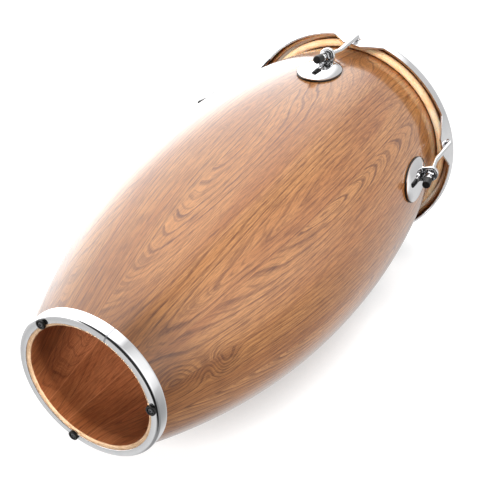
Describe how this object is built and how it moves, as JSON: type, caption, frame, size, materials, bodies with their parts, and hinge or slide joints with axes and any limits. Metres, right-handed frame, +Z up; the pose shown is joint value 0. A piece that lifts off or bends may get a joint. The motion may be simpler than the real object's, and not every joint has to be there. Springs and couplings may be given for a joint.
{
  "type": "conga drum",
  "caption": "Tall barrel-shaped wooden hand drum with a natural skin head, a rounded chrome rim pulled down by hooked tuning rods, and a metal-bound open base on rubber feet.",
  "frame": {"origin": "on the drum's axis, on the floor that its feet stand on", "axes": "+Z up the drum's axis towards the playing head; -Y towards the side midway between two of the tuning lugs"},
  "size_m": [0.3962, 0.3966, 0.719],
  "materials": {
    "lacquered_wood": "clear gloss lacquer over brown open-grained wood",
    "chrome": "polished chrome plate",
    "plain_steel": "dull zinc-plated steel",
    "black_rubber": "matt black rubber",
    "rawhide": "natural cream skin"
  },
  "bodies": {
    "shell_body": {"shell": "lacquered_wood", "bottom_ring": "chrome", "rubber_foot_1": "black_rubber", "rubber_foot_2": "black_rubber", "rubber_foot_3": "black_rubber", "foot_screw_1": "plain_steel", "foot_screw_2": "plain_steel", "foot_screw_3": "plain_steel", "lug_plate_1": "chrome", "lug_plate_2": "chrome", "lug_plate_3": "chrome", "lug_plate_4": "chrome", "lug_plate_5": "chrome", "lug_gasket_1": "black_rubber", "lug_gasket_2": "black_rubber", "lug_gasket_3": "black_rubber", "lug_gasket_4": "black_rubber", "lug_gasket_5": "black_rubber", "backing_plate_1": "plain_steel", "backing_plate_2": "plain_steel", "backing_plate_3": "plain_steel", "backing_plate_4": "plain_steel", "backing_plate_5": "plain_steel", "lug_bolt_lower_1": "plain_steel", "lug_bolt_lower_2": "plain_steel", "lug_bolt_lower_3": "plain_steel", "lug_bolt_lower_4": "plain_steel", "lug_bolt_lower_5": "plain_steel", "lug_bolt_upper_1": "plain_steel", "lug_bolt_upper_2": "plain_steel", "lug_bolt_upper_3": "plain_steel", "lug_bolt_upper_4": "plain_steel", "lug_bolt_upper_5": "plain_steel", "tuning_washer_1": "chrome", "tuning_washer_2": "chrome", "tuning_washer_3": "chrome", "tuning_washer_4": "chrome", "tuning_washer_5": "chrome"},
    "head_body": {"rim": "chrome", "skin_head": "rawhide", "flesh_hoop": "plain_steel"},
    "hook_1": {"tuning_hook_1": "chrome", "rod_cap_1": "black_rubber"},
    "hook_2": {"tuning_hook_2": "chrome", "rod_cap_2": "black_rubber"},
    "hook_3": {"tuning_hook_3": "chrome", "rod_cap_3": "black_rubber"},
    "hook_4": {"tuning_hook_4": "chrome", "rod_cap_4": "black_rubber"},
    "hook_5": {"tuning_hook_5": "chrome", "rod_cap_5": "black_rubber"},
    "nut_1": {"tuning_nut_1": "chrome"},
    "nut_2": {"tuning_nut_2": "chrome"},
    "nut_3": {"tuning_nut_3": "chrome"},
    "nut_4": {"tuning_nut_4": "chrome"},
    "nut_5": {"tuning_nut_5": "chrome"}
  },
  "joints": [
    {"name": "head_lift", "type": "slide", "parent": "shell_body", "child": "head_body", "axis": [0, 0, 1], "range_m": [0, 0.005]},
    {"name": "hook_slide_1", "type": "slide", "parent": "shell_body", "child": "hook_1", "axis": [0.1389, 0.1912, 0.9717], "range_m": [0, 0.0052]},
    {"name": "hook_slide_2", "type": "slide", "parent": "shell_body", "child": "hook_2", "axis": [-0.1389, 0.1912, 0.9717], "range_m": [0, 0.0052]},
    {"name": "hook_slide_3", "type": "slide", "parent": "shell_body", "child": "hook_3", "axis": [-0.2248, -0.073, 0.9717], "range_m": [0, 0.0052]},
    {"name": "hook_slide_4", "type": "slide", "parent": "shell_body", "child": "hook_4", "axis": [0, -0.2363, 0.9717], "range_m": [0, 0.0052]},
    {"name": "hook_slide_5", "type": "slide", "parent": "shell_body", "child": "hook_5", "axis": [0.2248, -0.073, 0.9717], "range_m": [0, 0.0052]},
    {"name": "nut_turn_1", "type": "hinge", "parent": "shell_body", "child": "nut_1", "pos_m": [-0.11515, -0.15849, 0.57727], "axis": [-0.1389, -0.1912, -0.9717], "range_deg": [0, 1483]},
    {"name": "nut_turn_2", "type": "hinge", "parent": "shell_body", "child": "nut_2", "pos_m": [0.11515, -0.15849, 0.57727], "axis": [0.1389, -0.1912, -0.9717], "range_deg": [0, 1483]},
    {"name": "nut_turn_3", "type": "hinge", "parent": "shell_body", "child": "nut_3", "pos_m": [0.18632, 0.06054, 0.57727], "axis": [0.2248, 0.073, -0.9717], "range_deg": [0, 1483]},
    {"name": "nut_turn_4", "type": "hinge", "parent": "shell_body", "child": "nut_4", "pos_m": [0, 0.19591, 0.57727], "axis": [0, 0.2363, -0.9717], "range_deg": [0, 1483]},
    {"name": "nut_turn_5", "type": "hinge", "parent": "shell_body", "child": "nut_5", "pos_m": [-0.18632, 0.06054, 0.57727], "axis": [-0.2248, 0.073, -0.9717], "range_deg": [0, 1483]}
  ],
  "couplings": [
    {"joint": "hook_slide_1", "follows": "head_lift", "ratio": 1.0292},
    {"joint": "hook_slide_2", "follows": "head_lift", "ratio": 1.0292},
    {"joint": "hook_slide_3", "follows": "head_lift", "ratio": 1.0292},
    {"joint": "hook_slide_4", "follows": "head_lift", "ratio": 1.0292},
    {"joint": "hook_slide_5", "follows": "head_lift", "ratio": 1.0292},
    {"joint": "nut_turn_1", "follows": "head_lift", "rad_per_m": 5173.1},
    {"joint": "nut_turn_2", "follows": "head_lift", "rad_per_m": 5173.1},
    {"joint": "nut_turn_3", "follows": "head_lift", "rad_per_m": 5173.1},
    {"joint": "nut_turn_4", "follows": "head_lift", "rad_per_m": 5173.1},
    {"joint": "nut_turn_5", "follows": "head_lift", "rad_per_m": 5173.1}
  ]
}
